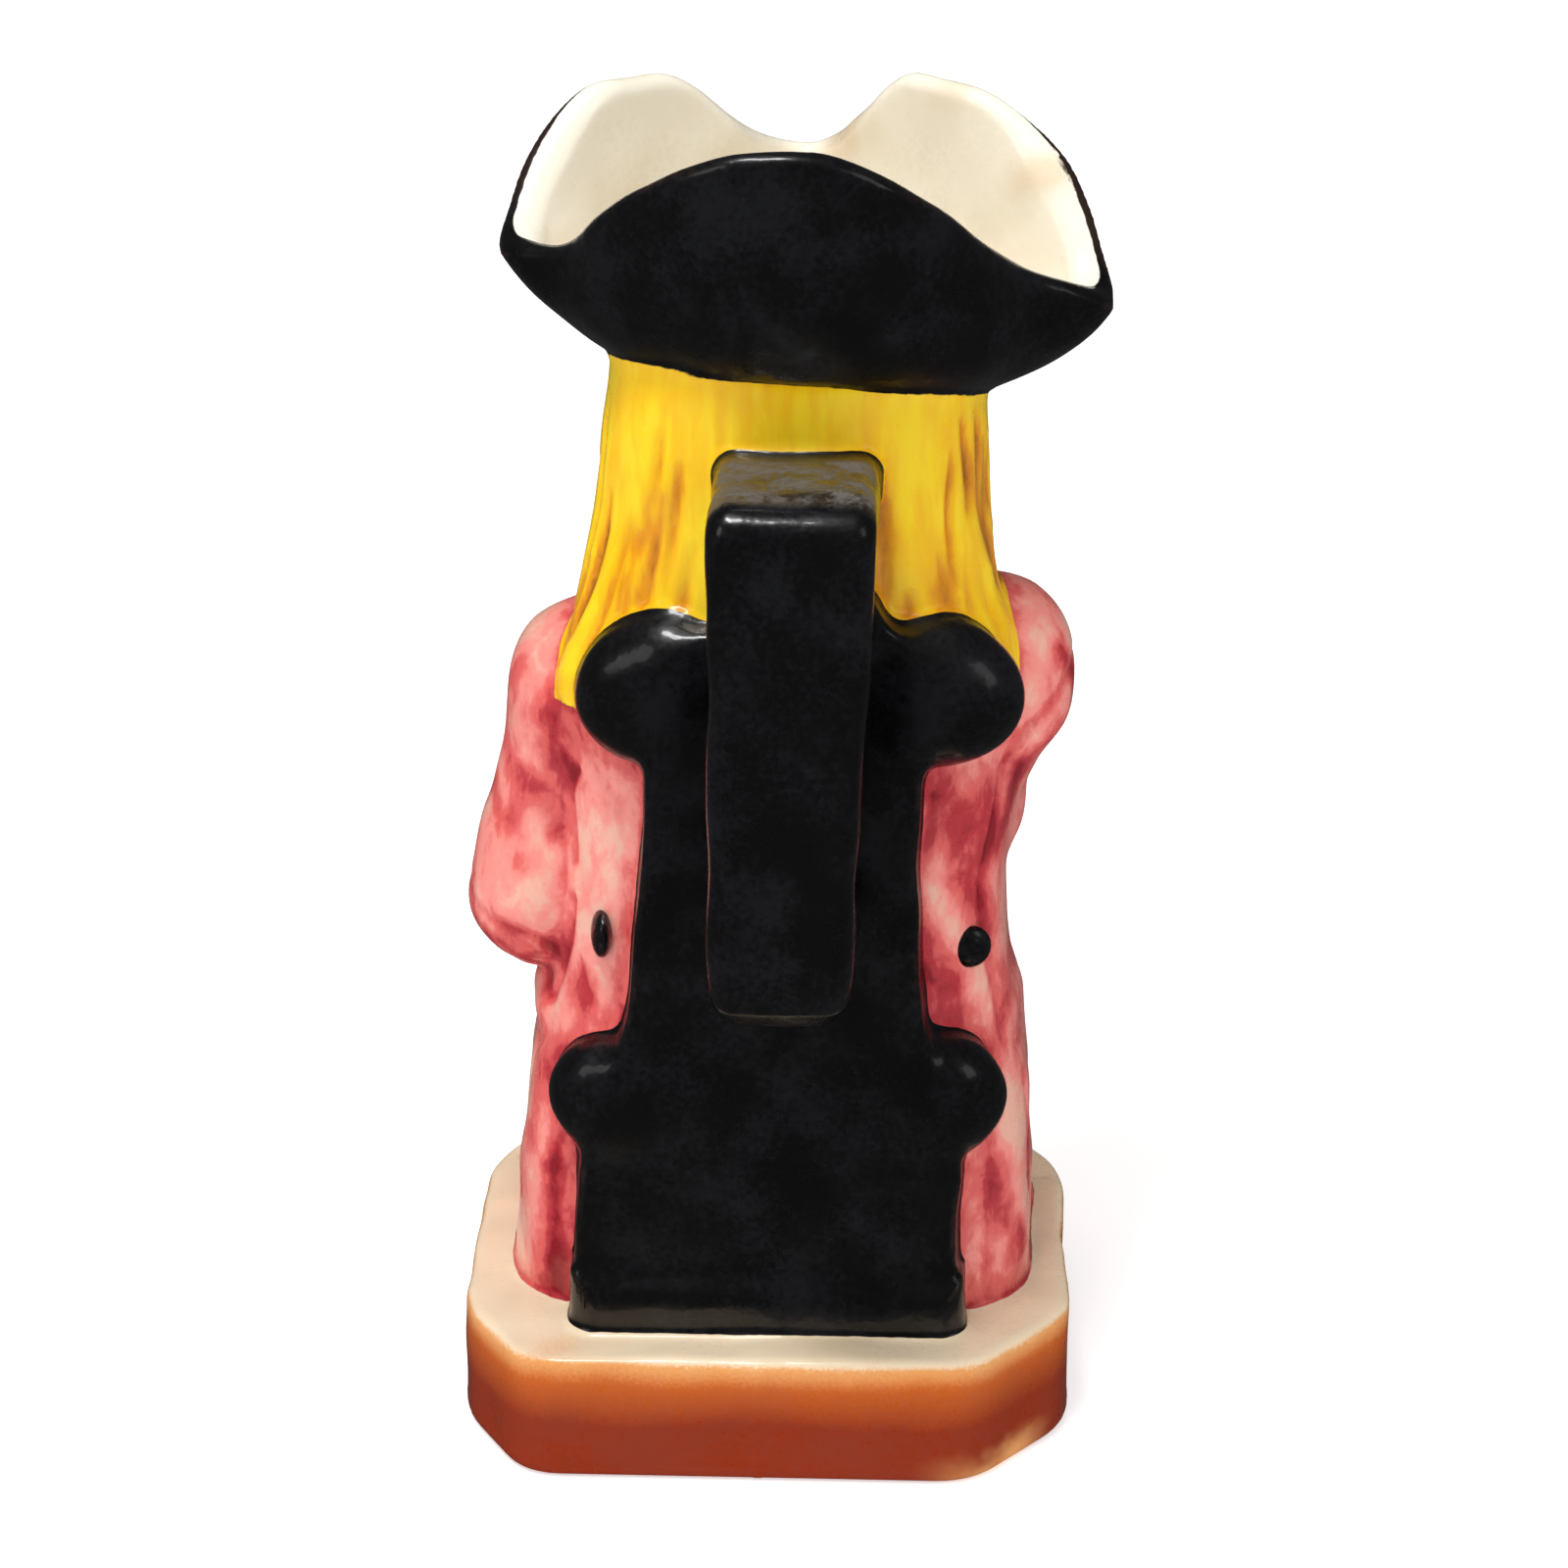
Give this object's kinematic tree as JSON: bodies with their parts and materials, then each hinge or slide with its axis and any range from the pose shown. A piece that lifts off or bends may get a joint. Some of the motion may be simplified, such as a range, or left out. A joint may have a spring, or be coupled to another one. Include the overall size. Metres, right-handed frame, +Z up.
{
  "type": "toby jug",
  "caption": "Hollow ceramic toby jug: a seated man in a tricorn hat that forms the open mouth, with a chair back and strap handle behind, on an eight-sided plinth.",
  "frame": {"origin": "centre of the plinth's flat underside", "axes": "+Z up; the seated figure faces -Y, the chair back and the handle face +Y, +X is the figure's own left"},
  "size_m": [0.0856, 0.0889, 0.1801],
  "materials": {
    "painted_glaze": "hand-painted glossy glaze: crimson coat, yellow hair, black hat, chair and handle, cream and orange plinth"
  },
  "bodies": {
    "root": {"toby_jug": "painted_glaze"}
  },
  "joints": []
}
